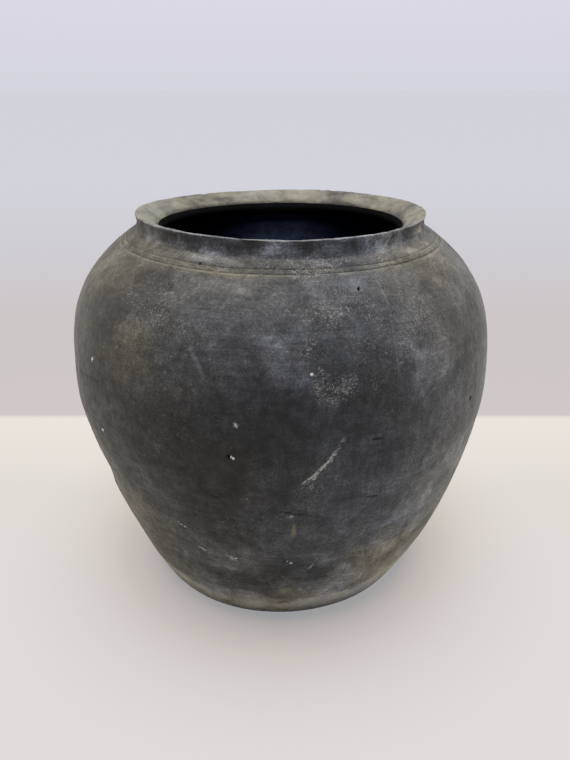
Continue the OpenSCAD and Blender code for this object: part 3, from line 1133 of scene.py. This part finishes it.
def build_slip():
    """The four rings of slip in the joints, as one piece."""
    points = []
    faces = []
    columns = COLUMNS // 4
    for joint in JOINTS:
        a, b, up = slip_ends(joint)
        outline = spaced([b - up, a - up, a + up, b + up, b - up], 1.5 * MM)[:-1]
        faces.extend((quads(len(outline), columns) + len(points)).tolist())
        points.extend(turned(outline[:, 0:1], outline[:, 1:2], columns).reshape(-1, 3))
    mesh = bpy.data.meshes.new("joint_slip")
    mesh.from_pydata(points, [], faces)
    new_piece("joint_slip", mesh, "slip")


def build_grains():
    """White mineral grains, each an uneven pebble bedded in the wall."""
    shape = bmesh.new()
    for index, (degrees, height, radius) in enumerate(GRAINS):
        size = radius * MM
        point, left = skin.at([outside_run(height * MM)])
        angle = math.radians(degrees)
        centre = point[0] + left[0] * (size - GRAIN_PROUD)
        middle = lean(np.array([centre[0] * math.sin(angle), -centre[0] * math.cos(angle),
                                centre[1]]))
        grown = bmesh.ops.create_icosphere(shape, subdivisions=4, radius=size)
        random = np.random.default_rng(40 + index)
        lobes = random.normal(size=(7, 3))
        lobes /= np.linalg.norm(lobes, axis=1, keepdims=True)
        cut = random.uniform(0.78, 0.97, 7)
        for vertex in grown["verts"]:
            way = np.array(vertex.co) / size
            reach = min(1.0, min(c / max(way @ lobe, 0.01) for c, lobe in zip(cut, lobes)))
            vertex.co = Vector(middle + way * reach * size)
    mesh = bpy.data.meshes.new("grit_grains")
    shape.to_mesh(mesh)
    shape.free()
    mesh.shade_smooth()
    new_piece("grit_grains", mesh, "white_grit")


build_walls()
build_inside()
build_slip()
build_grains()


# ------------------------------------------------ camera, light and table

def add_light(name, kind, place, aim, power, colour):
    """A light at a place that shines along aim; whoever calls sets its size."""
    data = bpy.data.lights.new(name, kind)
    data.energy = power
    data.color = colour
    light = show(name, data)
    light.location = place
    light.rotation_euler = Vector(aim).to_track_quat('-Z', 'Y').to_euler()
    return data


def add_sun(name, aim, spread, power, colour):
    """A very soft light from one side of the sky."""
    data = add_light(name, 'SUN', -Vector(aim), aim, power, colour)
    data.angle = math.radians(spread)


def build_camera():
    """A camera in front of the pot, level from side to side, that looks down on it."""
    data = bpy.data.cameras.new("camera")
    data.lens = 30
    data.sensor_width = 36
    data.clip_start = 0.01
    camera = show("camera", data)
    camera.location = (1.8 * MM, -359 * MM, 280.3 * MM)
    camera.rotation_euler = (math.radians(90 - 25.1), 0, 0)
    bpy.context.scene.camera = camera


# What the camera sees of the table, from 0.4 m before the pot to 1.6 m behind it
TABLE_NEAR = -0.4
TABLE_FAR = 1.6
# The table brightens towards its far edge, a painted highlight along that edge. Past the edge it
# is painted as the wall: darkest just beyond the edge, lighter and bluer further off.
TABLE_TINTS = [
    (0.0, (0.65, 0.55, 0.455)), (0.16, (0.62, 0.51, 0.46)), (0.22, (0.63, 0.51, 0.40)),
    (0.2775, (1.00, 0.78, 0.55)), (0.2785, (0.315, 0.25, 0.25)), (0.40, (0.29, 0.23, 0.24)),
    (0.60, (0.31, 0.29, 0.36)), (1.0, (0.36, 0.352, 0.51))]


def build_table():
    """A large table: pale grey to the light and tinted to the camera, with a painted glow round
    the foot, seen by the camera only, that lightens the pot's shadow there."""
    half = 30.0
    mesh = bpy.data.meshes.new("table")
    mesh.from_pydata([(-half, -half, 0), (half, -half, 0), (half, half, 0), (-half, half, 0)],
                     [], [(0, 1, 2, 3)])
    show("table", mesh)
    n = new_material("table_white")
    place = n.place()
    seen = n.seen()
    away = n.ramp(n.split(place)["Y"], TABLE_NEAR, TABLE_FAR, how='LINEAR')
    colour = n.mix(seen, (0.49, 0.48, 0.46), n.tones(away, TABLE_TINTS))
    distance = n.new("ShaderNodeVectorMath")
    distance.operation = 'LENGTH'
    n.put(place, distance.inputs[0])
    # Painted light: the table glows round the pot's foot for the camera only, which lightens the
    # shadow the pot casts there.
    painted_glow_by_foot = n.ramp(distance.outputs["Value"], 70 * MM, 112 * MM, 0.42, 0.0)
    n.shader.inputs["Roughness"].default_value = 0.8
    n.shader.inputs["Specular IOR Level"].default_value = 0.2
    mesh.materials.append(n.finish(Base_Color=colour, Emission_Strength=n.times(painted_glow_by_foot, seen),
                                   Emission_Color=(0.95, 0.98, 1.05)))


def build_wall():
    """A grey-blue wall for the camera, and a weak even fill for everything else."""
    world = bpy.data.worlds.new("studio")
    n = Nodes(world)
    rise = n.ramp(n.split(n.place("Generated"))["Z"], 0.0, 0.1, how='LINEAR')
    wall = n.tree.nodes["Background"]
    n.put(n.mix(rise, (1.66, 1.60, 2.35), (2.15, 1.88, 3.05)), wall.inputs["Color"])
    weak = n.fill(n.new("ShaderNodeBackground"), Color=(0.95, 0.96, 1.0), Strength=0.06)
    choice = n.new("ShaderNodeMixShader")
    for index, value in enumerate((n.seen(), weak[0], wall.outputs[0])):
        n.put(value, choice.inputs[index])
    n.put(choice.outputs[0], n.tree.nodes["World Output"].inputs["Surface"])
    bpy.context.scene.world = world


def build_light():
    """Soft light from above and both sides, and a narrow beam down into the mouth."""
    add_sun("overhead", (0, -0.04, -1), 48, 13.2, (1, 0.985, 0.97))
    add_sun("left", (1, -0.25, -0.35), 60, 0.9, (1, 0.97, 0.94))
    window = add_light("window", 'AREA', (0, -0.55, 0.5), (0, 0.64, -0.33), 0.015, (1, 1, 1))
    window.shape = 'RECTANGLE'
    window.size = 0.03
    window.size_y = 0.04
    window.spread = math.radians(7)
    add_sun("right", (-1, -0.25, -0.35), 60, 1.0, (0.97, 0.98, 1))


build_camera()
build_table()
build_wall()
build_light()
